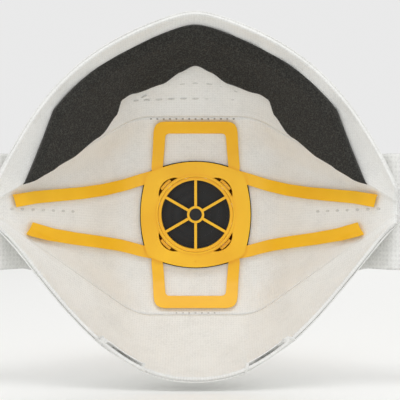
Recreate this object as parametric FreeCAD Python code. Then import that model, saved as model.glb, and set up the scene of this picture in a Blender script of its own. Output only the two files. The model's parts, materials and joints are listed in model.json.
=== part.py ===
"""Fold-flat dust mask with an exhalation valve, built as separate pieces, in millimetres.

The shell is three panels, nose, centre and chin, which fold along two seams. Each is three
layers: an outer cover, a filter and a lining. A moulded spring frame lies on the lining and
carries the valve. +Z is up, +Y is the way the wearer faces, and the origin is the middle of
the opening that the face goes into, on the line between its two corners.
"""
import FreeCAD
import Part
import math
import os

Vec = FreeCAD.Vector

# --- the shell ---
half_width = 85.0           # from the middle to each corner of the opening
front_depth = 66.0          # opening to the lining behind the valve
corner_depth = 4.0          # how far forward of the opening the front lies at a corner
side_bend = 7.0             # half the width of the bend where the flat front turns to a side
seam_bend = 4.5             # the same, where it turns towards a seam
seam_drop = 11.0            # how far the seams lie behind the flat front
seam_inset = 7.0            # how much nearer the middle the sides turn back at a seam
top_seam_z = 42.0
bottom_seam_z = -51.0
valve_z = -4.0              # height of the valve's centre
flat_margin = 1.2           # flat front left outside the valve's plate and gasket
nose_rim_z = 84.5
nose_rim_depth = 20.0       # how far forward of the corners the rim is at the nose
nose_rim_straight = 0.42    # how much of the rim's fall from nose to corner is a straight slope
nose_rim_power = 3.8        # how late the rest of the fall comes
nose_rim_tip = 9.0          # how far out the rim is rounded at the bridge of the nose
chin_rim_z = -73.5
chin_rim_power = 2.2        # the chin rim is (1 - share ** power) ** root of its full depth
chin_rim_root = 1.35
chin_rim_depth = 11.0
rim_corner_height = 3.5     # rim above or below the seam at a corner
nose_bulge = 4.0
chin_bulge = 5.0
seam_gap = 1.8              # left open between two panels, which the weld fills

# --- the layers, inside to outside ---
lining_thick = 0.5
filter_thick = 0.8
cover_thick = 0.5
layer_gap = 0.2

# --- nose foam and nose wire ---
foam_thick = 4.0
foam_inset = 3.6            # width of bare rim outside the foam
foam_end_slope = 2.6        # how steeply each end of the foam runs to its point
foam_gap = 0.3              # between the foam and the lining
wire_half_length = 45.0
wire_from_seam = 12.6       # from the top seam to the wire, along the panel
wire_width = 5.0
wire_thick = 0.6
wire_slot_margin = 1.0      # room round the wire in the filter

# --- spring frame ---
frame_thick = 1.5
frame_gap = 0.25            # between the frame and the lining
plate_half_width = 23.6     # at the corners
plate_half_height = 20.8
plate_side_bow = 2.7        # how far the left and right sides bow out
plate_end_bow = 4.5         # how far the top and bottom bow out
plate_corner_cut = 3.0
plate_thick = 2.2
lip_width = 0.9
lip_height = 0.5
arm_width = 5.5
plate_side_points = 14
loop_width = 5.3
loop_half_base = 21.6
loop_half_tip = 19.6
loop_rise = 23.1            # from the plate's corners to the loop's far edge, seen from the front
loop_corner = 5.0
loop_inner_corner = 2.0
pin_mark_radius = 0.45
pin_mark_depth = 0.4
pin_mark_offset = 2.9       # from the plate's edge

# --- valve ---
seat_radius = 18.0
seat_fit = 0.1
seat_wall = 1.5
seat_recess = 0.9           # how far the seat lies behind the plate's lip
seat_length = 6.6           # from the seat's back to the face that the flap closes on
stem_radius = 2.1
stem_fit = 0.08
bead_radius = 2.9           # the bead on the stem's end, which keeps the flap on its hub
bead_thick = 0.6
bead_recess = 0.3
hub_wall = 1.1
hub_step = 1.4              # thickness of the hub's inner step, which the bead stops at
flap_travel = 1.5
spoke_count = 6
spoke_width = 1.3
spoke_thick = 1.6
gasket_thick = 0.8
gasket_margin = 0.5         # how far the gasket's edge shows round the plate
valve_hole = 22.4           # radius of the hole in the three layers
flap_radius = 17.2
flap_thick = 0.7
flap_lift_gap = 0.1
flap_ring_radii = (7.6, 11.6, 15.4)
stem_fit = 0.1
slot_inner = 19.5           # the four crescents round the seat
slot_reach = 21.7
slot_arc = 8.0
hook_thick = 1.3
hook_half_angle = 9.0
cover_gap = 0.2
cover_flange = 25.4
cover_flange_thick = 1.2
cover_radius = 22.9
cover_wall = 1.5
cover_height = 9.0
cover_bevel = 1.6
vent_count = 12
vent_width = 1.9
vent_inner = 8.4
vent_outer = 19.0
vent_offset = 5.0           # how far each vent misses the centre, which gives the swirl

# --- ear loops ---
loop_sheet = 0.8
loop_top_z = 23.0
loop_bottom_z = -27.0
tab_start = 50.0            # where the tab is welded on, from the middle
tab_bottom_z = -36.0
tab_gap = 0.3
tab_overrun = 1.0           # how far the tab runs past the corner
hinge_gap = 0.35
ear_length = 95.0
ear_end_radius = 14.0
hole_start = 27.0
hole_end = 81.0
hole_half_height = 11.5

points_along = 61           # on each surface, from end to end
points_across = 27
strips_along = 10            # tiles that each surface is made in
strips_across = 2
sew_tolerance = 0.001

layer_1 = lining_thick
layer_2 = layer_1 + layer_gap
layer_3 = layer_2 + filter_thick
layer_4 = layer_3 + layer_gap
shell_thick = layer_4 + cover_thick
flat_half_width = max(plate_half_width + plate_side_bow + gasket_margin, cover_flange) + flat_margin
flat_half_height = max(plate_half_height + plate_end_bow + gasket_margin, cover_flange) + flat_margin
corner_share = corner_depth / front_depth
plate_front_y = front_depth - gasket_thick
plate_back_y = plate_front_y - plate_thick
seat_back_y = plate_back_y - lip_height + seat_recess
seat_front_y = seat_back_y + seat_length
hub_pocket = bead_radius + stem_fit
hub_pocket_depth = bead_recess + bead_thick + flap_travel + 0.1
nose_panel_length = math.hypot(front_depth - seam_drop - nose_rim_depth, nose_rim_z - top_seam_z)


def bent(t, radius):
    """0 before -radius and t after radius, with a smooth bend between."""
    if t <= -radius:
        return 0.0
    return t if t >= radius else (t + radius) ** 2 / (4 * radius)


def size_at(x, inset=0.0):
    """How large the shell's section is at x, 1 in the middle and corner_share at a corner."""
    start = flat_half_width + side_bend - inset
    return 1 - (1 - corner_share) * bent(abs(x) - start, side_bend) / (half_width - start)


def centre_surface(x, v):
    """A point of the centre panel's inside, v from -1 at the bottom seam to 1 at the top one."""
    reach = (top_seam_z - valve_z) if v > 0 else (valve_z - bottom_seam_z)
    start = flat_half_height + seam_bend
    drop = bent(abs(v) * reach - start, seam_bend) / (reach - start)
    s = size_at(x, seam_inset * drop)
    return Vec(x, (front_depth - seam_drop * drop) * s, (valve_z + v * reach) * s)


def rim_y(x, middle_depth):
    share = min(1.0, abs(x) / half_width)
    edge = corner_depth * 0.7
    return edge + (middle_depth - edge) * (1 - share ** 2)


def nose_rim(x):
    low = top_seam_z * corner_share + rim_corner_height
    share = min(1.0, abs(x) / half_width)
    tip = nose_rim_tip / half_width
    slope = (math.sqrt(share ** 2 + tip ** 2) - tip) / (math.sqrt(1 + tip ** 2) - tip)
    fall = nose_rim_straight * slope + (1 - nose_rim_straight) * share ** nose_rim_power
    return Vec(x, rim_y(x, nose_rim_depth), nose_rim_z - (nose_rim_z - low) * fall)


def chin_rim(x):
    low = bottom_seam_z * corner_share - rim_corner_height
    share = (1 - min(1.0, abs(x) / half_width) ** chin_rim_power) ** chin_rim_root
    return Vec(x, rim_y(x, chin_rim_depth), low + (chin_rim_z - low) * share)


def side_panel(x, v, rim, seam_side, bulge):
    """A point between a seam, v 0, and a rim, v 1, bowed outwards between them."""
    seam = centre_surface(x, seam_side)
    edge = rim(x)
    run = edge - seam
    start = seam_gap / max(run.Length, seam_gap * 2.2)
    t = start + (1 - start) * v
    out = Vec(0, abs(run.z), -run.y * seam_side) if seam_side > 0 else Vec(0, abs(run.z), run.y)
    out.normalize()
    return seam + run * t + out * (4 * t * (1 - t) * bulge * size_at(x))


def nose_surface(x, v):
    return side_panel(x, v, nose_rim, 1, nose_bulge)


def chin_surface(x, v):
    return side_panel(x, v, chin_rim, -1, chin_bulge)


def offset_point(surface, x, v, distance):
    """The surface's point moved outwards by distance along its normal."""
    step_x, step_v = 0.5, 0.01
    low_v = max(v - step_v, -1 if surface is centre_surface else 0)
    along = surface(min(x + step_x, half_width), v) - surface(max(x - step_x, -half_width), v)
    across = surface(x, min(v + step_v, 1)) - surface(x, low_v)
    normal = along.cross(across)
    if normal.y < 0:
        normal = normal * -1
    normal.normalize()
    return surface(x, v) + normal * distance


def tile(skin, i, j):
    """One tile of a skin that is cut into strips_along by strips_across tiles."""
    u0, u1, v0, v1 = skin.bounds()
    piece = skin.copy()
    piece.segment(u0 + (u1 - u0) * i / strips_along, u0 + (u1 - u0) * (i + 1) / strips_along,
                  v0 + (v1 - v0) * j / strips_across, v0 + (v1 - v0) * (j + 1) / strips_across)
    return piece


def patch(surface, x0, x1, v0, v1, inner, outer):
    """A closed sheet between two offsets of a surface, over a stretch of x and of v."""
    skins = []
    for distance in (inner, outer):
        grid = []
        for i in range(points_along):
            x = x0 + (x1 - x0) * i / (points_along - 1)
            grid.append([offset_point(surface, x, v0 + (v1 - v0) * j / (points_across - 1), distance)
                         for j in range(points_across)])
        skin = Part.BSplineSurface()
        skin.interpolate(grid)
        skins.append(skin)
    faces = []
    for i in range(strips_along):
        for j in range(strips_across):
            low, high = tile(skins[0], i, j), tile(skins[1], i, j)
            faces += [low.toShape().Faces[0], high.toShape().Faces[0]]
            a, b = low.bounds(), high.bounds()
            rims = []
            if j == 0:
                rims.append((low.vIso(a[2]), high.vIso(b[2])))
            if j == strips_across - 1:
                rims.append((low.vIso(a[3]), high.vIso(b[3])))
            if i == 0:
                rims.append((low.uIso(a[0]), high.uIso(b[0])))
            if i == strips_along - 1:
                rims.append((low.uIso(a[1]), high.uIso(b[1])))
            faces += [Part.makeRuledSurface(p.toShape(), q.toShape(), 1) for p, q in rims]
    shell = Part.makeShell(faces)
    shell.sewShape(sew_tolerance)
    solid = Part.makeSolid(Part.Shell(shell.Faces))
    if solid.Volume < 0:
        solid.reverse()
    return solid


def disc(radius, y0, y1, x=0.0, z=None):
    """A cylinder along Y, centred on the valve unless x and z say otherwise."""
    return Part.makeCylinder(radius, y1 - y0, Vec(x, y0, valve_z if z is None else z), Vec(0, 1, 0))


def ring(outer, inner, y0, y1):
    return disc(outer, y0, y1).cut(disc(inner, y0 - 1, y1 + 1))


def prism(points, y0=-20.0, y1=120.0):
    """A straight-sided column along Y over a closed outline of (x, z) points."""
    wire = Part.makePolygon([Vec(x, y0, z) for x, z in points + points[:1]])
    return Part.Face(wire).extrude(Vec(0, y1 - y0, 0))


def mirror(shape):
    return shape.mirror(Vec(0, 0, 0), Vec(1, 0, 0))


def one_solid(shape):
    """The shape as a plain solid, or as a compound of its solids."""
    solids = shape.Solids
    return solids[0] if len(solids) == 1 else Part.makeCompound(solids)


def panels():
    """Three layers for each of the three panels, with the valve's hole in the centre ones."""
    made = {}
    spans = {"nose": (nose_surface, 0.0), "centre": (centre_surface, -1.0), "chin": (chin_surface, 0.0)}
    layers = {"lining": (0.0, layer_1), "filter": (layer_2, layer_3), "cover": (layer_4, shell_thick)}
    for panel, (surface, low) in spans.items():
        for layer, (inner, outer) in layers.items():
            sheet = patch(surface, -half_width, half_width, low, 1.0, inner, outer)
            if panel == "centre":
                sheet = sheet.cut(disc(valve_hole, front_depth - 10, front_depth + 10))
            made[panel + "_" + layer] = sheet
    reach = wire_half_length + wire_slot_margin
    low = (wire_from_seam - wire_slot_margin) / nose_panel_length
    high = (wire_from_seam + wire_width + wire_slot_margin) / nose_panel_length
    slot = patch(nose_surface, -reach, reach, low, high, layer_2 - layer_gap / 2, layer_3 + layer_gap / 2)
    made["nose_filter"] = made["nose_filter"].cut(slot)
    return made


def nose_wire():
    middle = (layer_2 + layer_3) / 2
    low = wire_from_seam / nose_panel_length
    high = (wire_from_seam + wire_width) / nose_panel_length
    return patch(nose_surface, -wire_half_length, wire_half_length, low, high,
                 middle - wire_thick / 2, middle + wire_thick / 2)


def foam_edge():
    """The foam's inner edge from the middle out: a notch at the nose bridge, then a shoulder."""
    return [(0.0, 66.0), (7.0, 63.2), (15.7, 58.0), (30.0, 53.3), (36.0, 49.6), (39.0, 42.0), (46.0, 32.0),
            (59.0, 20.5), (68.0, 13.5), (75.0, 8.0)]


def nose_foam():
    body = patch(nose_surface, -half_width, half_width, 0.0, 1.0, -foam_gap - foam_thick, -foam_gap)
    inner = foam_edge()
    tip, tip_z = inner[-1]
    count = 24
    outer = []
    for i in range(count + 1):
        x = -tip + 2 * tip * i / count
        rim = nose_rim(x)
        slope = (nose_rim(x + 0.2).z - nose_rim(x - 0.2).z) / 0.4
        tilt = math.atan(slope)
        end_z = tip_z + 1.0 + foam_end_slope * (tip - abs(x))
        outer.append((x + foam_inset * math.sin(tilt), min(end_z, rim.z - foam_inset * math.cos(tilt))))
    outline = outer + inner[-2::-1] + [(-x, z) for x, z in inner[1:-1]]
    return body.common(prism(outline))


def bowed_side(a, b, bow):
    """Points from a to b that bow out to the left of the way from a to b."""
    ax, az = a
    bx, bz = b
    length = math.hypot(bx - ax, bz - az)
    nx, nz = -(bz - az) / length, (bx - ax) / length
    points = []
    for i in range(plate_side_points):
        t = i / plate_side_points
        lift = 4 * t * (1 - t) * bow
        points.append((ax + (bx - ax) * t + nx * lift, az + (bz - az) * t + nz * lift))
    return points


def plate_outline(margin):
    """The valve plate's outline: a square with bowed sides and cut corners."""
    w, h = plate_half_width + margin, plate_half_height + margin
    c = plate_corner_cut
    corners = [(-w, h - c), (-w + c, h), (w - c, h), (w, h - c), (w, -h + c), (w - c, -h), (-w + c, -h), (-w, -h + c)]
    bows = [0.5, plate_end_bow, 0.5, plate_side_bow] * 2
    points = []
    for i, corner in enumerate(corners):
        points += bowed_side(corner, corners[(i + 1) % len(corners)], bows[i])
    return [(x, z + valve_z) for x, z in points]


def crescents(y0, y1):
    """The four crescent slots round the seat, on the diagonals."""
    made = []
    centre = slot_reach - slot_arc
    for turn in (45, 135, 225, 315):
        a = math.radians(turn)
        big = disc(slot_arc, y0, y1, centre * math.cos(a), valve_z + centre * math.sin(a))
        made.append(big.cut(disc(slot_inner, y0 - 1, y1 + 1)))
    return made


def rounded(points, radius):
    """An outline's corners cut to arcs, given as points of a closed polygon."""
    made = []
    n = len(points)
    for i in range(n):
        px, pz = points[i - 1]
        cx, cz = points[i]
        nx, nz = points[(i + 1) % n]
        d1, d2 = math.hypot(px - cx, pz - cz), math.hypot(nx - cx, nz - cz)
        a = (cx + (px - cx) * radius / d1, cz + (pz - cz) * radius / d1)
        b = (cx + (nx - cx) * radius / d2, cz + (nz - cz) * radius / d2)
        for j in range(5):
            t = j / 4
            made.append(((1 - t) ** 2 * a[0] + 2 * t * (1 - t) * cx + t * t * b[0],
                         (1 - t) ** 2 * a[1] + 2 * t * (1 - t) * cz + t * t * b[1]))
    return made


def loop_outline(side):
    """A rectangular loop above, side 1, or below, side -1, the plate, and its window."""
    foot = valve_z + side * (plate_half_height - 3)
    tip = valve_z + side * (plate_half_height + loop_rise)
    outer = [(-loop_half_base, foot), (-loop_half_tip, tip), (loop_half_tip, tip), (loop_half_base, foot)]
    w = loop_width
    inner = [(-loop_half_base + w, foot - side), (-loop_half_tip + w, tip - side * w),
             (loop_half_tip - w, tip - side * w), (loop_half_base - w, foot - side)]
    return rounded(outer, loop_corner), rounded(inner, loop_inner_corner)


def strip(points, width):
    """The outline of a strip of one width along a line of points."""
    left, right = [], []
    for i, (x, z) in enumerate(points):
        ax, az = points[max(i - 1, 0)]
        bx, bz = points[min(i + 1, len(points) - 1)]
        length = math.hypot(bx - ax, bz - az)
        nx, nz = -(bz - az) / length * width / 2, (bx - ax) / length * width / 2
        left.append((x + nx, z + nz))
        right.append((x - nx, z - nz))
    return left + right[::-1]


def upper_arm_line():
    return [(20.0, 14.5), (26.0, 12.8), (34.0, 10.2), (43.0, 7.8), (52.0, 6.2), (61.0, 5.2), (70.0, 4.2), (77.5, 2.6)]


def lower_arm_line():
    return [(20.0, -22.6), (26.0, -21.4), (36.0, -18.6), (45.0, -16.6), (55.0, -14.6), (64.0, -12.4), (72.0, -9.4)]


def spring_frame():
    """The moulded frame: plate, two loops and four arms, all on the lining's inside."""
    layer = patch(centre_surface, -half_width + 1, half_width - 1, -0.99, 0.99,
                  -frame_gap - frame_thick, -frame_gap)
    web = None
    for side in (1, -1):
        outer, inner = loop_outline(side)
        piece = layer.common(prism(outer).cut(prism(inner)))
        web = piece if web is None else web.fuse(piece)
    for line in (upper_arm_line(), lower_arm_line()):
        arm = layer.common(prism(strip(line, arm_width)))
        web = web.fuse(arm).fuse(mirror(arm))
    plate_column = prism(plate_outline(0.0), plate_back_y, plate_front_y)
    web = web.cut(prism(plate_outline(gasket_margin + 0.3), plate_front_y, front_depth + 1))
    frame = web.fuse(plate_column)
    bore = seat_radius + seat_fit
    frame = frame.fuse(ring(bore + lip_width, bore, plate_back_y - lip_height, plate_front_y))
    frame = frame.cut(disc(bore, front_depth - 12, front_depth + 12))
    for slot in crescents(front_depth - 12, front_depth + 12):
        frame = frame.cut(slot)
    for side in (1, -1):
        z = valve_z + side * (plate_half_height + plate_end_bow - pin_mark_offset)
        frame = frame.cut(disc(pin_mark_radius, plate_back_y - 1, plate_back_y + pin_mark_depth, 0, z))
    return frame.removeSplitter()


def valve_gasket():
    """A thin ring of dark foam between the plate and the lining."""
    column = prism(plate_outline(gasket_margin), plate_front_y + 0.05, front_depth - 0.05)
    return column.cut(disc(valve_hole, 0, 100))


def valve_seat():
    """The ring that the flap closes on, with its hub and spokes."""
    seat = ring(seat_radius, seat_radius - seat_wall, seat_back_y, seat_front_y)
    hub_radius = hub_pocket + hub_wall
    hub_end = seat_back_y + hub_pocket_depth + hub_step
    start = hub_pocket + hub_wall / 2
    for i in range(spoke_count):
        spoke = Part.makeBox(spoke_width, spoke_thick, seat_radius - seat_wall / 2 - start,
                             Vec(-spoke_width / 2, seat_back_y + 0.3, valve_z + start))
        spoke.rotate(Vec(0, 0, valve_z), Vec(0, 1, 0), 360.0 * i / spoke_count)
        seat = seat.fuse(spoke)
    seat = seat.fuse(disc(hub_radius, seat_back_y, hub_end))
    seat = seat.cut(disc(hub_pocket, seat_back_y - 1, seat_back_y + hub_pocket_depth))
    return seat.cut(disc(stem_radius + stem_fit, seat_back_y, hub_end + 1)).removeSplitter()


def valve_flap():
    """A thin disc on a beaded stem, with raised rings on the side that the wearer sees."""
    back = seat_front_y + flap_lift_gap
    flap = disc(flap_radius, back, back + flap_thick)
    bead = seat_back_y + bead_recess
    flap = flap.fuse(disc(stem_radius, bead, back + 0.1)).fuse(disc(bead_radius, bead, bead + bead_thick))
    for radius in flap_ring_radii:
        if radius + 0.3 < seat_radius - seat_wall - 0.5:
            flap = flap.fuse(ring(radius + 0.3, radius - 0.3, back - 0.4, back + 0.1))
    return flap.removeSplitter()


def valve_cover():
    """The vented cap on the outside, held by four hooks through the plate's crescents."""
    base = front_depth + shell_thick + cover_gap
    top = base + cover_flange_thick + cover_height
    cap = ring(cover_flange, cover_radius - cover_wall, base, base + cover_flange_thick)
    body = disc(cover_radius, base, top)
    rim_edge = [e for e in body.Edges if abs(e.CenterOfMass.y - top) < 0.01 and e.Length > 10]
    body = body.makeChamfer(cover_bevel, rim_edge)
    body = body.cut(disc(cover_radius - cover_wall, base - 1, top - cover_wall))
    cap = cap.fuse(body)
    for i in range(vent_count):
        vent = Part.makeBox(vent_width, cover_wall * 3, vent_outer - vent_inner,
                            Vec(vent_offset - vent_width / 2, top - cover_wall * 2, valve_z + vent_inner))
        vent.rotate(Vec(0, 0, valve_z), Vec(0, 1, 0), 360.0 * i / vent_count)
        cap = cap.cut(vent)
    hook_tip = plate_back_y + 1.2
    inner = slot_inner + 0.25
    for turn in (45, 135, 225, 315):
        a = math.radians(turn)
        hook = ring(inner + hook_thick, inner, hook_tip, base + cover_flange_thick)
        half = inner * math.sin(math.radians(hook_half_angle))
        sector = Part.makeBox(half * 2, 60, 30, Vec(-half, 40, valve_z))
        sector.rotate(Vec(0, 0, valve_z), Vec(0, 1, 0), 90 - math.degrees(a))
        cap = cap.fuse(hook.common(sector))
        link = ring(cover_radius - cover_wall + 0.2, inner, base, base + cover_flange_thick)
        cap = cap.fuse(link.common(sector))
    return cap.removeSplitter()


def tab_line(x, distance):
    """y of the ear loop's tab, which lies in front of the shell's side."""
    step = 0.5
    slope = (size_at(x + step) - size_at(x - step)) * front_depth / (2 * step)
    return front_depth * size_at(x) + distance * math.sqrt(1 + slope * slope)


def ear_tab():
    """The welded part of the right ear loop, from the weld to the corner."""
    count = 12
    end = half_width + tab_overrun
    near, far = [], []
    for i in range(count + 1):
        x = tab_start + (end - tab_start) * i / count
        at = min(x, half_width - 1)
        near.append(Vec(x, tab_line(at, shell_thick + tab_gap), tab_bottom_z))
        far.append(Vec(x, tab_line(at, shell_thick + tab_gap + loop_sheet), tab_bottom_z))
    inside, outside = Part.BSplineCurve(), Part.BSplineCurve()
    inside.interpolate(near)
    outside.interpolate(far)
    ends = [Part.LineSegment(near[-1], far[-1]).toShape(), Part.LineSegment(far[0], near[0]).toShape()]
    face = Part.Face(Part.Wire([inside.toShape(), ends[0], outside.toShape(), ends[1]]))
    sheet = face.extrude(Vec(0, 0, loop_top_z - tab_bottom_z))
    below = [(tab_start - 1, tab_bottom_z - 1), (tab_start - 1, tab_bottom_z), (end - 12, loop_bottom_z - 1),
             (end + 1, loop_bottom_z), (end + 1, tab_bottom_z - 1)]
    return sheet.cut(prism(below))


def ear_loop():
    """The free part of the right ear loop: a flat sheet with a long hole for the ear."""
    start = half_width + tab_overrun + hinge_gap
    end = start + ear_length
    y0 = tab_line(half_width - 1, shell_thick + tab_gap)
    middle = (loop_top_z + loop_bottom_z) / 2
    height = loop_top_z - loop_bottom_z
    sheet = Part.makeBox(ear_length, loop_sheet, height, Vec(start, y0, loop_bottom_z))
    corners = [e for e in sheet.Edges if abs(e.CenterOfMass.x - end) < 0.01 and abs(e.Length - loop_sheet) < 0.01]
    sheet = sheet.makeFillet(ear_end_radius, corners)
    hinge = [e for e in sheet.Edges if abs(e.CenterOfMass.x - start) < 0.01 and abs(e.Length - height) < 0.01]
    sheet = sheet.makeFillet(loop_sheet * 0.49, hinge)
    first, last = start + hole_start, start + hole_end
    hole = disc(hole_half_height, y0 - 1, y0 + 2, first + hole_half_height, middle)
    hole = hole.fuse(disc(hole_half_height, y0 - 1, y0 + 2, last - hole_half_height, middle))
    hole = hole.fuse(Part.makeBox(last - first - 2 * hole_half_height, 3, 2 * hole_half_height,
                                  Vec(first + hole_half_height, y0 - 1, middle - hole_half_height)))
    return sheet.cut(hole)


def build():
    made = panels()
    made["nose_wire"] = nose_wire()
    made["nose_foam"] = nose_foam()
    made["spring_frame"] = spring_frame()
    made["valve_gasket"] = valve_gasket()
    made["valve_seat"] = valve_seat()
    made["valve_flap"] = valve_flap()
    made["valve_cover"] = valve_cover()
    made["right_loop_tab"] = ear_tab()
    made["left_loop_tab"] = mirror(ear_tab())
    made["right_ear_loop"] = ear_loop()
    made["left_ear_loop"] = mirror(ear_loop())
    os.makedirs("parts", exist_ok=True)
    for name, shape in made.items():
        solid = one_solid(shape)
        solid.exportStep("parts/" + name + ".step")


build()
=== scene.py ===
import bmesh
import bpy
import json
import math
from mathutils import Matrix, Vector, noise

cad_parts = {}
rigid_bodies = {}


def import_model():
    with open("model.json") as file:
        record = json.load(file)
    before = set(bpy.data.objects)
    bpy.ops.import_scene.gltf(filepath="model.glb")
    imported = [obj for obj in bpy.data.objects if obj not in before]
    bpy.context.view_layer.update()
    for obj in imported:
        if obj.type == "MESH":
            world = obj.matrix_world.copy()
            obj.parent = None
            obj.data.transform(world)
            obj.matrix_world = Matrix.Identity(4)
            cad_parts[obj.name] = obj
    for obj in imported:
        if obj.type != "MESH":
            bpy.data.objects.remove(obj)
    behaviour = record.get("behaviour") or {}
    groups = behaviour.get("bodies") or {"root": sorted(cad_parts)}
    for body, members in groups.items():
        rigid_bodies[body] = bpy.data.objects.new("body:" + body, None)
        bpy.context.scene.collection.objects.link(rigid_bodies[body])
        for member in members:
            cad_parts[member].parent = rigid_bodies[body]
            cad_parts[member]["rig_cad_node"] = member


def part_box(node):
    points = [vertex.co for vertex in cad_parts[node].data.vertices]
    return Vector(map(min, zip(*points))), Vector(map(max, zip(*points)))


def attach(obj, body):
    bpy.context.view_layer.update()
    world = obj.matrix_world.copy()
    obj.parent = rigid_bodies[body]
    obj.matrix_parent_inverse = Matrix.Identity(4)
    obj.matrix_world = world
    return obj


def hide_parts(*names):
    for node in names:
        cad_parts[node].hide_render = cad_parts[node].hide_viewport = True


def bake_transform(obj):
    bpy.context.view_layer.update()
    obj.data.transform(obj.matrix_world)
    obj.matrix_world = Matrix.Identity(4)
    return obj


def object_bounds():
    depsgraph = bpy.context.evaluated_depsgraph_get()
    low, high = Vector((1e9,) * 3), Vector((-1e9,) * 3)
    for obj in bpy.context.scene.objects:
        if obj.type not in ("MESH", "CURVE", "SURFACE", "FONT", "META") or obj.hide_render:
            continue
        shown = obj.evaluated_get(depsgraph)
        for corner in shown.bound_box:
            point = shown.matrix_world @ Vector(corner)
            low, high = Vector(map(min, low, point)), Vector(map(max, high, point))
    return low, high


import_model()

cad_box = [list(corner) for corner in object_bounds()]


# ---------------------------------------------------------------------------------------------
# Camera, light and floor
# The wearer's view into an opened mask, under a large soft light from above and behind the
# viewer, so that the chin side is the brightest and the nose side lies in its own shade.

def from_hex(code):
    """An sRGB hex colour as linear red, green, blue and alpha."""
    parts = [int(code[i:i + 2], 16) / 255 for i in (1, 3, 5)]
    return [p / 12.92 if p <= 0.04045 else ((p + 0.055) / 1.055) ** 2.4 for p in parts] + [1.0]


def put(tree, kind, inputs=None, **settings):
    """A new node in a tree, with its settings, and a value or a link for each named input."""
    node = tree.nodes.new(kind)
    for key, value in settings.items():
        setattr(node, key, value)
    for key, value in (inputs or {}).items():
        if isinstance(value, bpy.types.NodeSocket):
            tree.links.new(value, node.inputs[key])
        else:
            node.inputs[key].default_value = value
    return node


def new_material(name):
    """An empty material, with its node tree and its shader."""
    material = bpy.data.materials.new(name)
    material.use_nodes = True
    tree = material.node_tree
    tree.nodes.clear()
    shader = put(tree, "ShaderNodeBsdfPrincipled")
    put(tree, "ShaderNodeOutputMaterial", {"Surface": shader.outputs["BSDF"]})
    return material, tree, shader


def add_light(name, place, target, width, height, power):
    data = bpy.data.lights.new(name, "AREA")
    data.shape = "RECTANGLE"
    data.size, data.size_y, data.energy = width, height, power
    lamp = bpy.data.objects.new(name, data)
    lamp.location = place
    lamp.rotation_euler = (Vector(target) - Vector(place)).to_track_quat("-Z", "Y").to_euler()
    bpy.context.collection.objects.link(lamp)


view_distance = 0.45
view_width = 0.168
bpy.context.scene.view_settings.view_transform = "Standard"
camera_data = bpy.data.cameras.new("camera")
camera_data.sensor_width = 36
camera_data.lens = 36 * view_distance / view_width
camera = bpy.data.objects.new("camera", camera_data)
camera.location = (0.0021, -view_distance, 0.003)
camera.rotation_euler = (math.radians(90), 0, 0)
bpy.context.collection.objects.link(camera)
bpy.context.scene.camera = camera

add_light("sky_panel", (0.05, -0.40, 0.75), (0, 0.03, -0.01), 0.5, 0.35, 1.9)
add_light("fill_panel", (-0.25, -0.85, 0.12), (0, 0.03, 0), 0.5, 0.5, 0.35)
add_light("front_panel", (0.3, 0.9, 0.6), (0, 0.03, 0), 0.7, 0.7, 1.0)

world = bpy.data.worlds.new("studio")
world.use_nodes = True
world.node_tree.nodes["Background"].inputs["Color"].default_value = (1, 1, 1, 1)
world.node_tree.nodes["Background"].inputs["Strength"].default_value = 0.82
bpy.context.scene.world = world

paper, paper_tree, paper_shader = new_material("studio_paper")
paper_shader.inputs["Base Color"].default_value = from_hex("#F4F4F2")
paper_shader.inputs["Roughness"].default_value = 0.9
floor_mesh = bpy.data.meshes.new("floor")
floor_z = cad_box[0][2] - 0.004
floor_mesh.from_pydata([(x, y, floor_z) for x, y in ((-4, -4), (4, -4), (4, 4), (-4, 4))], [], [(0, 1, 2, 3)])
floor_mesh.materials.append(paper)
floor = bpy.data.objects.new("floor", floor_mesh)
bpy.context.collection.objects.link(floor)


# ---------------------------------------------------------------------------------------------
# Centre panel
# Nonwoven polypropylene: a smooth lining with the filter behind it, and an outer cover, cut
# flat and welded to the nose and chin panels. Its middle stays flat behind the valve plate, and
# its sides fall back to the corners of the opening. The hole for the valve is hidden.

MM = 0.001
half_width = 85.0
front_depth = 66.0
corner_share = 4.0 / front_depth
flat_half_width, flat_half_height = 28.0, 27.0
side_bend = 7.0
seam_bend = 4.5
seam_drop = 11.0
seam_inset = 7.0
top_seam_z, bottom_seam_z = 42.0, -51.0
valve_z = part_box("valve_seat")[0][2] / MM + 18.0
inner_pack = 1.5            # lining and filter together
cover_start, cover_end = 1.7, 2.2
valve_hole = 22.4


def bent(t, radius):
    if t <= -radius:
        return 0.0
    return t if t >= radius else (t + radius) ** 2 / (4 * radius)


def size_at(x, inset=0.0):
    start = flat_half_width + side_bend - inset
    return 1 - (1 - corner_share) * bent(abs(x) - start, side_bend) / (half_width - start)


def centre_point(x, v):
    """A point of the centre panel's lining, v from -1 at the bottom seam to 1 at the top one."""
    reach = (top_seam_z - valve_z) if v > 0 else (valve_z - bottom_seam_z)
    start = flat_half_height + seam_bend
    drop = bent(abs(v) * reach - start, seam_bend) / (reach - start)
    share = size_at(x, seam_inset * drop)
    return Vector((x, (front_depth - seam_drop * drop) * share, (valve_z + v * reach) * share))


def outward(surface, x, v):
    """The unit normal of a surface, pointing out of the mask."""
    low = -1.0 if surface is centre_point else 0.0
    along = surface(min(x + 0.5, half_width), v) - surface(max(x - 0.5, -half_width), v)
    across = surface(x, min(v + 0.01, 1.0)) - surface(x, max(v - 0.01, low))
    normal = along.cross(across)
    return (normal if normal.y > 0 else -normal).normalized()


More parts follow.
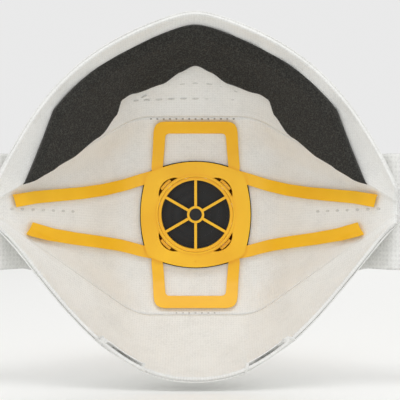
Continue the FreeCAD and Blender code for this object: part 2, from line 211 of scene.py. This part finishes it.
def sheet_object(name, point, columns, rows, skip=None):
    """A grid of faces over point(i, j), where i and j run from 0 to 1, as an object in metres.
    Its UV map holds the distance along the cloth in metres."""
    grid = [[point(i / columns, j / rows) for j in range(rows + 1)] for i in range(columns + 1)]
    bm = bmesh.new()
    uv = bm.loops.layers.uv.new("cloth")
    verts = [[bm.verts.new(p * MM) for p in line] for line in grid]
    middle = rows // 2
    run = [0.0]
    for i in range(columns):
        run.append(run[-1] + (grid[i + 1][middle] - grid[i][middle]).length * MM)
    for i in range(columns):
        rise = 0.0
        for j in range(rows):
            step = (grid[i][j + 1] - grid[i][j]).length * MM
            corners = [(i, j), (i + 1, j), (i + 1, j + 1), (i, j + 1)]
            if not (skip and skip([grid[a][b] for a, b in corners])):
                face = bm.faces.new([verts[a][b] for a, b in corners])
                face.smooth = True
                for loop, (a, b) in zip(face.loops, corners):
                    loop[uv].uv = (run[a], rise + (step if b > j else 0.0))
            rise += step
    bmesh.ops.delete(bm, geom=[v for v in bm.verts if not v.link_faces], context="VERTS")
    bmesh.ops.recalc_face_normals(bm, faces=bm.faces)
    bm.normal_update()
    if sum(f.normal.y * f.calc_area() for f in bm.faces) < 0:
        bmesh.ops.reverse_faces(bm, faces=bm.faces)
    mesh = bpy.data.meshes.new(name)
    bm.to_mesh(mesh)
    bm.free()
    made = bpy.data.objects.new(name, mesh)
    bpy.context.collection.objects.link(made)
    return made


def make_plain(made):
    """The object's mesh with its modifiers worked in, and none left."""
    mesh = bpy.data.meshes.new_from_object(made.evaluated_get(bpy.context.evaluated_depsgraph_get()))
    made.modifiers.clear()
    made.data = mesh
    mesh.name = made.name


def thicken(made, thickness):
    """Gives a sheet its thickness on the side it faces, which is out of the mask."""
    wall = made.modifiers.new("wall", "SOLIDIFY")
    wall.thickness = thickness * MM
    wall.offset = 1.0
    wall.use_even_offset = True
    make_plain(made)


def ripple(x, z, seed, size, height):
    """Soft unevenness of cloth: a height in mm that varies over size mm."""
    return height * noise.fractal(Vector((x / size, z / size, seed)), 0.8, 2.0, 3)


def nonwoven(name, colour, shade, bond_pitch):
    """Spunbond polypropylene: white matt fibres with a faint grid of pressed bond points. The
    fibres are drawn 0.25 mm wide, ten times too coarse, so that they show."""
    material, tree, shader = new_material(name)
    cloth = put(tree, "ShaderNodeUVMap", uv_map="cloth")
    place = put(tree, "ShaderNodeTexCoord")
    fibre = put(tree, "ShaderNodeTexNoise", {"Vector": place.outputs["Object"], "Scale": 1 / 0.0009,
                                              "Detail": 6.0, "Roughness": 0.7, "Distortion": 1.2})
    cloud = put(tree, "ShaderNodeTexNoise", {"Vector": place.outputs["Object"], "Scale": 1 / 0.012,
                                              "Detail": 3.0, "Roughness": 0.6})
    bond = put(tree, "ShaderNodeTexVoronoi", {"Vector": cloth.outputs["UV"], "Scale": 1 / bond_pitch,
                                               "Randomness": 0.18})
    dot = put(tree, "ShaderNodeMapRange", {"Value": bond.outputs["Distance"], "From Min": 0.18, "From Max": 0.4,
                                            "To Min": 0.0, "To Max": 1.0})
    blend = put(tree, "ShaderNodeMath", {0: cloud.outputs["Fac"], 1: 0.5}, operation="MULTIPLY")
    tone = put(tree, "ShaderNodeMath", {0: blend.outputs[0], 1: fibre.outputs["Fac"]}, operation="ADD")
    ramp = put(tree, "ShaderNodeValToRGB", {"Fac": tone.outputs[0]})
    ramp.color_ramp.elements[0].position, ramp.color_ramp.elements[0].color = 0.4, from_hex(shade)
    ramp.color_ramp.elements[1].position, ramp.color_ramp.elements[1].color = 0.8, from_hex(colour)
    pressed = put(tree, "ShaderNodeMapRange", {"Value": dot.outputs["Result"], "To Min": 0.35, "To Max": 0.0})
    tint = put(tree, "ShaderNodeMix", {"Factor": pressed.outputs["Result"], 6: ramp.outputs["Color"],
                                        7: from_hex(shade)}, data_type="RGBA")
    tree.links.new(tint.outputs[2], shader.inputs["Base Color"])
    coarse = put(tree, "ShaderNodeBump", {"Height": dot.outputs["Result"], "Strength": 0.35, "Distance": 0.00012})
    fine = put(tree, "ShaderNodeBump", {"Height": fibre.outputs["Fac"], "Strength": 0.45, "Distance": 0.0003,
                                         "Normal": coarse.outputs["Normal"]})
    tree.links.new(fine.outputs["Normal"], shader.inputs["Normal"])
    rough = put(tree, "ShaderNodeMapRange", {"Value": fibre.outputs["Fac"], "To Min": 0.72, "To Max": 0.92})
    tree.links.new(rough.outputs["Result"], shader.inputs["Roughness"])
    shader.inputs["Sheen Weight"].default_value = 0.25
    shader.inputs["Sheen Roughness"].default_value = 0.5
    shader.inputs["Specular IOR Level"].default_value = 0.25
    return material


lining_cloth = nonwoven("spunbond_lining", "#F1F1EE", "#DCDCD9", 0.0012)
cover_cloth = nonwoven("spunbond_cover", "#F2F2EF", "#D9D9D6", 0.0016)


def panel_surface(surface, offset, low, high, lift):
    """A panel's skin as a function of 0..1 by 0..1, moved out by offset and an uneven lift."""
    def at(i, j):
        x = half_width * (2 * i - 1)
        v = low + (high - low) * j
        edge = min(1.0, 6 * min(i, 1 - i), 6 * min(j, 1 - j))
        rest = surface(x, v)
        return rest + outward(surface, x, v) * (offset + edge * lift(rest.x, rest.z))
    return at


def over_valve(corners):
    """True for a face that lies inside the valve's hole."""
    centre = sum(corners, Vector()) / 4
    return math.hypot(centre.x, centre.z - valve_z) < valve_hole and centre.y > 60


def lining_lift(x, z):
    return max(0.0, ripple(x, z, 3.1, 26.0, 0.5) * min(1.0, abs(x) / 60))


def cover_lift(x, z):
    return ripple(x, z, 8.7, 22.0, 0.35) * min(1.0, max(0.0, abs(x) - 28) / 30)


centre_inside = sheet_object("centre_panel_lining", panel_surface(centre_point, 0.0, -1.0, 1.0, lining_lift),
                             130, 66, over_valve)
thicken(centre_inside, inner_pack)
centre_outside = sheet_object("centre_panel_cover", panel_surface(centre_point, cover_start, -1.0, 1.0, cover_lift),
                              130, 66, over_valve)
thicken(centre_outside, cover_end - cover_start)
for piece, cloth, nodes, slot in (
        (centre_inside, lining_cloth, ("centre_lining", "centre_filter"), "lining_nonwoven"),
        (centre_outside, cover_cloth, ("centre_cover",), "outer_nonwoven")):
    piece.data.materials.append(cloth)
    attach(piece, "shell")
    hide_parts(*nodes)


# ---------------------------------------------------------------------------------------------
# Nose panel and chin panel
# The same layers of nonwoven as the centre panel, welded to it along the two seams and free at
# the rim. They bow outwards.

nose_rim_z, nose_rim_depth, nose_bulge = 84.5, 20.0, 4.0
chin_rim_z, chin_rim_depth, chin_bulge = -73.5, 11.0, 5.0
rim_corner_height = 3.5


def rim_y(x, middle_depth):
    share = min(1.0, abs(x) / half_width)
    edge = corner_share * front_depth * 0.7
    return edge + (middle_depth - edge) * (1 - share ** 2)


def nose_rim(x):
    low = top_seam_z * corner_share + rim_corner_height
    share = min(1.0, abs(x) / half_width)
    tip = 9.0 / half_width
    slope = (math.hypot(share, tip) - tip) / (math.hypot(1, tip) - tip)
    fall = 0.42 * slope + 0.58 * share ** 3.8
    return Vector((x, rim_y(x, nose_rim_depth), nose_rim_z - (nose_rim_z - low) * fall))


def chin_rim(x):
    low = bottom_seam_z * corner_share - rim_corner_height
    share = (1 - min(1.0, abs(x) / half_width) ** 2.2) ** 1.35
    return Vector((x, rim_y(x, chin_rim_depth), low + (chin_rim_z - low) * share))


def side_point(x, v, rim, side, bulge):
    """A point between a seam, v 0, and a rim, v 1, bowed outwards between them."""
    seam = centre_point(x, side)
    run = rim(x) - seam
    out = Vector((0, abs(run.z), -run.y * side)).normalized()
    return seam + run * v + out * (4 * v * (1 - v) * bulge * size_at(x))


def nose_point(x, v):
    return side_point(x, v, nose_rim, 1, nose_bulge)


def chin_point(x, v):
    return side_point(x, v, chin_rim, -1, chin_bulge)


def nose_lift(x, z):
    return ripple(x, z, 5.3, 30.0, 1.1)


def chin_lift(x, z):
    return ripple(x, z, 1.9, 34.0, 1.2)


def seam_normal(side):
    """The direction from a seam's plane towards its rim. The plane holds both corners."""
    seam = centre_point(0.0, side)
    return Vector((0, -abs(seam.z), side * seam.y)).normalized() * MM


nose_turn = {"a": "shell", "b": "nose_panel", "start": tuple(seam_normal(1) * 0.5), "end": tuple(seam_normal(1) * 16)}
chin_turn = {"a": "shell", "b": "chin_panel", "start": tuple(seam_normal(-1) * 0.5), "end": tuple(seam_normal(-1) * 16)}

for part, surface, lift, turn in (("nose", nose_point, nose_lift, nose_turn), ("chin", chin_point, chin_lift, chin_turn)):
    inside = sheet_object(part + "_panel_lining", panel_surface(surface, 0.0, 0.0, 1.0, lift), 130, 44)
    thicken(inside, inner_pack)
    inside.data.materials.append(lining_cloth)
    outside = sheet_object(part + "_panel_cover", panel_surface(surface, cover_start, 0.0, 1.0, lift), 130, 44)
    thicken(outside, cover_end - cover_start)
    outside.data.materials.append(cover_cloth)
    for piece, nodes, slot in ((inside, (part + "_lining", part + "_filter"), "lining_nonwoven"),
                               (outside, (part + "_cover",), "outer_nonwoven")):
        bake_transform(piece)
        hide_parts(*nodes)


# ---------------------------------------------------------------------------------------------
# Nose foam
# A die-cut pad of open-cell polyurethane foam, glued inside the top rim. Its outer edge is
# pressed down to a bevel that catches the light, and a notch clears the bridge of the nose.

foam_thick = 4.0
foam_gap = 0.3
foam_inset = 3.6
foam_bevel = 3.0
foam_tip = 74.6
foam_end_slope = 2.6
foam_inner = [(0.0, 66.0), (7.0, 63.2), (15.7, 58.0), (30.0, 53.3), (36.0, 49.6), (39.0, 42.0), (46.0, 32.0),
              (59.0, 20.5), (68.0, 13.5), (75.0, 8.0)]


def foam_low(x):
    """Height of the foam's inner edge at x, through its points in a smooth line."""
    x = abs(x)
    points = foam_inner
    k = max(i for i in range(len(points) - 1) if points[i][0] <= x)
    (x1, z1), (x2, z2) = points[k], points[k + 1]
    x0, z0 = points[k - 1] if k else (-points[1][0], points[1][1])
    x3, z3 = points[k + 2] if k + 2 < len(points) else (2 * x2 - x1, 2 * z2 - z1)
    t = (x - x1) / (x2 - x1)
    m1 = 0.5 * (z2 - z0) / (x2 - x0) * (x2 - x1) * 2
    m2 = 0.5 * (z3 - z1) / (x3 - x1) * (x2 - x1) * 2
    m1, m2 = m1 * 0.6, m2 * 0.6
    return ((2 * t ** 3 - 3 * t ** 2 + 1) * z1 + (t ** 3 - 2 * t ** 2 + t) * m1
            + (3 * t ** 2 - 2 * t ** 3) * z2 + (t ** 3 - t ** 2) * m2)


def foam_high(x):
    slope = (nose_rim(x + 0.2).z - nose_rim(x - 0.2).z) / 0.4
    end = foam_inner[-1][1] + 1.0 + foam_end_slope * (foam_tip - abs(x))
    return min(end, nose_rim(x).z - foam_inset * math.sqrt(1 + slope * slope))


def nose_share(x, z):
    """v of the nose panel's point at x whose height is z."""
    low, high = 0.0, 1.0
    for _ in range(24):
        middle = (low + high) / 2
        if nose_point(x, middle).z < z:
            low = middle
        else:
            high = middle
    return low


def foam_side(top):
    """The foam's seen side, or the glued one, as a function of 0..1 by 0..1."""
    def at(i, j):
        x = foam_tip * (2 * i - 1)
        low, high = foam_low(x), max(foam_high(x), foam_low(x) + 0.6)
        width = high - low
        z = low + width * j
        v = nose_share(x, z)
        from_outer, from_inner = (1 - j) * width, j * width
        outer = min(1.0, from_outer / foam_bevel)
        inner = min(1.0, from_inner / 1.3)
        end = min(1.0, (foam_tip - abs(x)) / 3.0)
        height = foam_thick * (0.35 + 0.65 * math.sin(outer * math.pi / 2)) * math.sqrt(inner * (2 - inner) * 0.55 + 0.45)
        height *= math.sqrt(max(0.05, end))
        height += ripple(x, z, 4.4, 9.0, 0.12)
        distance = foam_gap + (height if top else 0.0)
        return nose_point(x, v) - outward(nose_point, x, v) * distance
    return at


foam_columns, foam_rows = 220, 26
seen, glued = foam_side(True), foam_side(False)
bm = bmesh.new()
layers = []
for side in (seen, glued):
    layers.append([[bm.verts.new(side(i / foam_columns, j / foam_rows) * MM) for j in range(foam_rows + 1)]
                   for i in range(foam_columns + 1)])
for layer in layers:
    for i in range(foam_columns):
        for j in range(foam_rows):
            bm.faces.new([layer[i][j], layer[i + 1][j], layer[i + 1][j + 1], layer[i][j + 1]])
rim_path = [(i, 0) for i in range(foam_columns)] + [(foam_columns, j) for j in range(foam_rows)]
rim_path += [(i, foam_rows) for i in range(foam_columns, 0, -1)] + [(0, j) for j in range(foam_rows, 0, -1)]
for (a, b), (c, d) in zip(rim_path, rim_path[1:] + rim_path[:1]):
    bm.faces.new([layers[0][a][b], layers[0][c][d], layers[1][c][d], layers[1][a][b]])
bmesh.ops.recalc_face_normals(bm, faces=bm.faces)
for face in bm.faces:
    face.smooth = True
foam_mesh = bpy.data.meshes.new("nose_foam_pad")
bm.to_mesh(foam_mesh)
bm.free()
foam = bpy.data.objects.new("nose_foam_pad", foam_mesh)
bpy.context.collection.objects.link(foam)


def open_foam(name, colour, shade, cell):
    """Open-cell polyurethane: dull, dark and pitted, with cells of the given size in metres."""
    material, tree, shader = new_material(name)
    place = put(tree, "ShaderNodeTexCoord")
    cells = put(tree, "ShaderNodeTexVoronoi", {"Vector": place.outputs["Object"], "Scale": 1 / cell})
    grain = put(tree, "ShaderNodeTexNoise", {"Vector": place.outputs["Object"], "Scale": 1 / (cell * 2.4),
                                              "Detail": 5.0, "Roughness": 0.75})
    tone = put(tree, "ShaderNodeMath", {0: cells.outputs["Distance"], 1: grain.outputs["Fac"]}, operation="MULTIPLY")
    ramp = put(tree, "ShaderNodeValToRGB", {"Fac": tone.outputs[0]})
    ramp.color_ramp.elements[0].position, ramp.color_ramp.elements[0].color = 0.05, from_hex(shade)
    ramp.color_ramp.elements[1].position, ramp.color_ramp.elements[1].color = 0.45, from_hex(colour)
    tree.links.new(ramp.outputs["Color"], shader.inputs["Base Color"])
    bump = put(tree, "ShaderNodeBump", {"Height": tone.outputs[0], "Strength": 0.6, "Distance": cell * 0.5})
    tree.links.new(bump.outputs["Normal"], shader.inputs["Normal"])
    shader.inputs["Roughness"].default_value = 0.95
    shader.inputs["Specular IOR Level"].default_value = 0.2
    shader.inputs["Sheen Weight"].default_value = 0.15
    return material


foam.data.materials.append(open_foam("polyurethane_foam", "#403F3B", "#1B1A18", 0.0006))
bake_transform(foam)
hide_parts("nose_foam")


# ---------------------------------------------------------------------------------------------
# Spring frame and valve
# Injection-moulded polypropylene in yellow: the plate with its loops and arms, the seat ring
# with six spokes pressed into it, and the cap on the outside. A silicone flap closes the seat,
# and a black foam gasket between the plate and the lining shows as a thin dark edge round the plate.

def moulded(name, colour, shade, roughness):
    """Moulded polypropylene: even colour with a slight flow cloud, and a fine spark texture."""
    material, tree, shader = new_material(name)
    place = put(tree, "ShaderNodeTexCoord")
    cloud = put(tree, "ShaderNodeTexNoise", {"Vector": place.outputs["Object"], "Scale": 1 / 0.02, "Detail": 2.0})
    spark = put(tree, "ShaderNodeTexNoise", {"Vector": place.outputs["Object"], "Scale": 1 / 0.0005, "Detail": 4.0})
    ramp = put(tree, "ShaderNodeValToRGB", {"Fac": cloud.outputs["Fac"]})
    ramp.color_ramp.elements[0].position, ramp.color_ramp.elements[0].color = 0.3, from_hex(shade)
    ramp.color_ramp.elements[1].position, ramp.color_ramp.elements[1].color = 0.7, from_hex(colour)
    tree.links.new(ramp.outputs["Color"], shader.inputs["Base Color"])
    rough = put(tree, "ShaderNodeMapRange", {"Value": spark.outputs["Fac"], "To Min": roughness - 0.06,
                                              "To Max": roughness + 0.08})
    tree.links.new(rough.outputs["Result"], shader.inputs["Roughness"])
    bump = put(tree, "ShaderNodeBump", {"Height": spark.outputs["Fac"], "Strength": 0.15, "Distance": 0.0001})
    tree.links.new(bump.outputs["Normal"], shader.inputs["Normal"])
    shader.inputs["IOR"].default_value = 1.49
    return material


def silicone(name, colour):
    """Press-moulded silicone: black, soft gloss, with faint dust that dulls it in patches."""
    material, tree, shader = new_material(name)
    place = put(tree, "ShaderNodeTexCoord")
    dust = put(tree, "ShaderNodeTexNoise", {"Vector": place.outputs["Object"], "Scale": 1 / 0.004, "Detail": 5.0})
    rough = put(tree, "ShaderNodeMapRange", {"Value": dust.outputs["Fac"], "To Min": 0.22, "To Max": 0.45})
    tree.links.new(rough.outputs["Result"], shader.inputs["Roughness"])
    ramp = put(tree, "ShaderNodeValToRGB", {"Fac": dust.outputs["Fac"]})
    ramp.color_ramp.elements[0].position, ramp.color_ramp.elements[0].color = 0.3, from_hex(colour)
    ramp.color_ramp.elements[1].position, ramp.color_ramp.elements[1].color = 0.8, from_hex("#1C1C1C")
    tree.links.new(ramp.outputs["Color"], shader.inputs["Base Color"])
    rings = put(tree, "ShaderNodeMapping", {"Vector": place.outputs["Object"], "Location": (0, 0, -valve_z * MM)})
    wave = put(tree, "ShaderNodeTexWave", {"Vector": rings.outputs["Vector"], "Scale": 1 / 0.016},
               wave_type="RINGS", rings_direction="Y")
    bump = put(tree, "ShaderNodeBump", {"Height": wave.outputs["Fac"], "Strength": 0.5, "Distance": 0.0002})
    tree.links.new(bump.outputs["Normal"], shader.inputs["Normal"])
    shader.inputs["IOR"].default_value = 1.42
    return material


def give(node, material):
    """Puts a material on every slot of a CAD node's object."""
    made = next(o for o in bpy.data.objects if o.get("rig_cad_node") == node)
    if not made.material_slots:
        made.data.materials.append(material)
    for place in made.material_slots:
        place.material = material
    return made


yellow = moulded("polypropylene_yellow", "#FFC61E", "#F7B912", 0.42)
for node in ("spring_frame", "valve_seat", "valve_cover"):
    give(node, yellow)
give("valve_flap", silicone("silicone_black", "#0C0C0C"))
# The gasket is near black, so its edge draws a thin dark line round the plate.
give("valve_gasket", open_foam("gasket_foam", "#1A1917", "#080808", 0.0004))


def rolled(name):
    """Annealed aluminium strip: dull silver with fine rolling lines along it."""
    material, tree, shader = new_material(name)
    place = put(tree, "ShaderNodeTexCoord")
    lines = put(tree, "ShaderNodeMapping", {"Vector": place.outputs["Object"], "Scale": (40, 1500, 1500)})
    grain = put(tree, "ShaderNodeTexNoise", {"Vector": lines.outputs["Vector"], "Scale": 1.0, "Detail": 3.0})
    rough = put(tree, "ShaderNodeMapRange", {"Value": grain.outputs["Fac"], "To Min": 0.3, "To Max": 0.5})
    tree.links.new(rough.outputs["Result"], shader.inputs["Roughness"])
    shader.inputs["Base Color"].default_value = from_hex("#C9CACC")
    shader.inputs["Metallic"].default_value = 1.0
    return material


give("nose_wire", rolled("aluminium_strip"))


# ---------------------------------------------------------------------------------------------
# Weld marks
# Ultrasonic welds: a row of pressed points along the middle of the top and bottom seams, two
# rows of dashes that make the nose wire's pocket with a third above them, and dashes that
# hold the layers together between the arms. The pressed cloth is fused, so it is a bit glossy.
# The top seam's points are coloured dark grey as painted shade in their pits under that seam.

def marks_tree(name, material):
    """Flattened beads set along a line. The line's points carry the direction they face."""
    tree = bpy.data.node_groups.new(name, "GeometryNodeTree")
    face = tree.interface
    face.new_socket("Geometry", in_out="INPUT", socket_type="NodeSocketGeometry")
    for label in ("Pitch", "Length", "Width", "Height"):
        face.new_socket(label, in_out="INPUT", socket_type="NodeSocketFloat")
    face.new_socket("Geometry", in_out="OUTPUT", socket_type="NodeSocketGeometry")
    source = put(tree, "NodeGroupInput")
    size = put(tree, "ShaderNodeCombineXYZ", {"X": source.outputs["Length"], "Y": source.outputs["Width"],
                                               "Z": source.outputs["Height"]})
    line = put(tree, "GeometryNodeMeshToCurve", {"Mesh": source.outputs["Geometry"]})
    spaced = put(tree, "GeometryNodeResampleCurve", {"Curve": line.outputs["Curve"], "Length": source.outputs["Pitch"]},
                 mode="LENGTH")
    bead = put(tree, "GeometryNodeMeshUVSphere", {"Segments": 14, "Rings": 8, "Radius": 0.5})
    smooth = put(tree, "GeometryNodeSetShadeSmooth", {"Geometry": bead.outputs["Mesh"]})
    tangent = put(tree, "GeometryNodeInputTangent")
    facing = put(tree, "GeometryNodeInputNamedAttribute", {"Name": "facing"}, data_type="FLOAT_VECTOR")
    turned = put(tree, "FunctionNodeAlignRotationToVector", {"Vector": tangent.outputs["Tangent"]}, axis="X")
    rolled_over = put(tree, "FunctionNodeAlignRotationToVector", {"Rotation": turned.outputs["Rotation"],
                                                                  "Vector": facing.outputs["Attribute"]},
                      axis="Z", pivot_axis="X")
    beads = put(tree, "GeometryNodeInstanceOnPoints", {"Points": spaced.outputs["Curve"],
                                                        "Instance": smooth.outputs["Geometry"],
                                                        "Rotation": rolled_over.outputs["Rotation"],
                                                        "Scale": size.outputs["Vector"]})
    real = put(tree, "GeometryNodeRealizeInstances", {"Geometry": beads.outputs["Instances"]})
    painted = put(tree, "GeometryNodeSetMaterial", {"Geometry": real.outputs["Geometry"], "Material": material})
    put(tree, "NodeGroupOutput", {"Geometry": painted.outputs["Geometry"]})
    return tree


def weld_row(name, tree, points, facings, pitch, length, width, height):
    """One row of weld marks along points in mm, with its tree's sizes in mm."""
    mesh = bpy.data.meshes.new(name)
    mesh.from_pydata([p * MM for p in points], [(i, i + 1) for i in range(len(points) - 1)], [])
    layer = mesh.attributes.new("facing", "FLOAT_VECTOR", "POINT")
    for place, direction in zip(layer.data, facings):
        place.vector = direction
    made = bpy.data.objects.new(name, mesh)
    bpy.context.collection.objects.link(made)
    marks = made.modifiers.new("marks", "NODES")
    marks.node_group = tree
    for item in tree.interface.items_tree:
        value = {"Pitch": pitch, "Length": length, "Width": width, "Height": height}.get(item.name)
        if value is not None and item.in_out == "INPUT":
            marks[item.identifier] = value * MM
    make_plain(made)
    return made


def fused(name, colour):
    """Nonwoven pressed to a film: the same plastic, smoother, greyer and slightly see-through. The dark colour given to
    the top seam's points is painted shade.
    """
    material, tree, shader = new_material(name)
    place = put(tree, "ShaderNodeTexCoord")
    grain = put(tree, "ShaderNodeTexNoise", {"Vector": place.outputs["Object"], "Scale": 1 / 0.0006, "Detail": 3.0})
    ramp = put(tree, "ShaderNodeValToRGB", {"Fac": grain.outputs["Fac"]})
    ramp.color_ramp.elements[0].position, ramp.color_ramp.elements[0].color = 0.25, from_hex(colour)
    ramp.color_ramp.elements[1].position, ramp.color_ramp.elements[1].color = 0.8, from_hex("#E4E4E1")
    tree.links.new(ramp.outputs["Color"], shader.inputs["Base Color"])
    bump = put(tree, "ShaderNodeBump", {"Height": grain.outputs["Fac"], "Strength": 0.3, "Distance": 0.0001})
    tree.links.new(bump.outputs["Normal"], shader.inputs["Normal"])
    shader.inputs["Roughness"].default_value = 0.42
    return material


def row_on(surface, ends, height, count=24, depth=0.0):
    """Points and facings along a panel, from ends[0] to ends[1] in x, at height(x) in z."""
    points, facings = [], []
    for k in range(count + 1):
        x = ends[0] + (ends[1] - ends[0]) * k / count
        low, high = (-1.0, 1.0) if surface is centre_point else (0.0, 1.0)
        rising = surface(x, high).z > surface(x, low).z
        for _ in range(26):
            middle = (low + high) / 2
            if (surface(x, middle).z < height(x)) == rising:
                low = middle
            else:
                high = middle
        out = outward(surface, x, low)
        points.append(surface(x, low) - out * depth)
        facings.append(out)
    return points, facings


dash_tree = marks_tree("weld_dashes", fused("fused_dash", "#C2C2BE"))
# Painted shade: the top seam's points get a dark grey that stands for the shadow in their pits.
shaded_dot_tree = marks_tree("weld_points", fused("fused_point_painted_shade", "#45443F"))
light_tree = marks_tree("pale_weld_points", fused("fused_pale_point", "#B9B9B5"))
dash_size = {"pitch": 5.6, "length": 3.2, "width": 0.9, "height": 0.35}

for name, half, height, drop in (("pocket_row_low", 28.0, 50.4, 0.0016), ("pocket_row_high", 24.0, 57.2, 0.0105),
                                 ("pocket_row_top", 5.0, 63.0, 0.0)):
    for side, depth in (("inside", 0.05), ("outside", -cover_end)):
        points, facings = row_on(nose_point, (-half, half), lambda x: height - drop * x * x, depth=depth)
        row = weld_row(f"{name}_{side}", dash_tree, points, facings, **dash_size)
        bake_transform(row)

for name, side, ends, tree in (("top_seam_points", 1, (-21.0, 18.0), shaded_dot_tree),
                               ("bottom_seam_points", -1, (-9.0, 9.0), light_tree)):
    along = [ends[0] + (ends[1] - ends[0]) * k / 12 for k in range(13)]
    points = [centre_point(x, side * 0.985) - outward(centre_point, x, side * 0.985) * 0.05 for x in along]
    row = weld_row(name, tree, points, [outward(centre_point, x, side) for x in along], 2.9, 1.0, 1.0, 0.35)
    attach(row, "shell")

for name, direction in (("left", -1), ("right", 1)):
    points, facings = row_on(centre_point, (direction * 56.0, direction * 79.0),
                             lambda x: -2.2 + (abs(x) - 56) * 0.06, depth=0.05)
    row = weld_row(name + "_side_dashes", dash_tree, points, facings, 5.4, 2.2, 1.2, 0.35)
    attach(row, "shell")


# ---------------------------------------------------------------------------------------------
# Seam flanges
# Where two panels are welded face to face their edges stand out in front of the mask as a
# narrow double strip, pressed flat along the weld.

flange_height = 3.0
flange_thick = 0.9


def flange_at(side):
    """The flange's middle surface: up from a seam along the line that halves its two panels."""
    panel = nose_point if side > 0 else chin_point

    def at(i, j):
        x = (half_width - 1.5) * (2 * i - 1)
        out = (outward(centre_point, x, side) + outward(panel, x, 0.05)).normalized()
        taper = min(1.0, 0.25 + 5 * min(i, 1 - i))
        wave = 0.25 * math.sin(x * 0.55) * j
        start = centre_point(x, side) + out * (cover_start - 0.4)
        return start + out * (flange_height * taper * j) + Vector((0, 0, wave))
    return at


for name, side in (("top_seam_flange", 1), ("bottom_seam_flange", -1)):
    flange = sheet_object(name, flange_at(side), 150, 6)
    thicken(flange, flange_thick)
    flange.data.materials.append(cover_cloth)
    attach(flange, "shell")


# ---------------------------------------------------------------------------------------------
# Ear loops
# Stretch nonwoven, die-cut with a long hole for the ear and welded to the centre panel's sides.
# Each runs from its weld past the corner of the opening.

loop_low, loop_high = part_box("right_ear_loop")
loop_y = loop_low[1] / MM
loop_sheet = 0.8
loop_top, loop_bottom = loop_high[2] / MM, loop_low[2] / MM
loop_start, loop_end = loop_low[0] / MM, loop_high[0] / MM
loop_middle = (loop_top + loop_bottom) / 2
tab_start = 50.0
tab_bottom = -36.0
end_radius = 14.0
hole_first, hole_last = loop_start + 27.0, loop_start + 81.0
hole_radius = 11.5
tab_clear = 2.5


def loop_depth(x):
    """y of the loop's inner face at x: along the shell's side, then straight out."""
    if x >= half_width - 1:
        return loop_y
    slope = (size_at(x + 0.5) - size_at(x - 0.5)) * front_depth
    return front_depth * size_at(x) + tab_clear * math.sqrt(1 + slope * slope)


def to_hole(x, z):
    """Distance in mm from a point to the ear hole's edge, less than 0 inside it."""
    near = min(max(x, hole_first + hole_radius), hole_last - hole_radius)
    return math.hypot(x - near, z - loop_middle) - hole_radius


def loop_point(direction):
    def at(i, j):
        x = tab_start + (loop_end - tab_start) * i
        past = max(0.0, x - (loop_end - end_radius))
        trim = end_radius - math.sqrt(max(0.0, end_radius ** 2 - past ** 2))
        top, bottom = loop_top - trim, loop_bottom + trim
        if x < 75:
            bottom = loop_bottom + (tab_bottom - loop_bottom) * min(1.0, (75 - x) / 25)
        z = bottom + (top - bottom) * j
        gap = to_hole(x, z)
        if abs(gap) < 1.15 and x > loop_start:
            near = Vector((min(max(x, hole_first + hole_radius), hole_last - hole_radius), 0, loop_middle))
            away = (Vector((x, 0, z)) - near).normalized()
            x, z = (near + away * hole_radius).x, (near + away * hole_radius).z
        free = min(1.0, max(0.0, x - loop_start - 6) / 20)
        return Vector((direction * x, loop_depth(x) + 0.5 * free * (ripple(x, z, 6.0 + direction, 30.0, 1.0) + 0.2), z))
    return at


def in_ear_hole(corners):
    return all(to_hole(abs(c.x), c.z) < 0.05 for c in corners)


loop_cloth = nonwoven("stretch_nonwoven", "#EDEDEA", "#CDCDCA", 0.0020)
for name, direction in (("left", -1), ("right", 1)):
    loop = sheet_object(name + "_ear_loop_cloth", loop_point(direction), 92, 36, in_ear_hole)
    thicken(loop, loop_sheet)
    loop.data.materials.append(loop_cloth)
    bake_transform(loop)
    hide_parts(name + "_ear_loop", name + "_loop_tab")
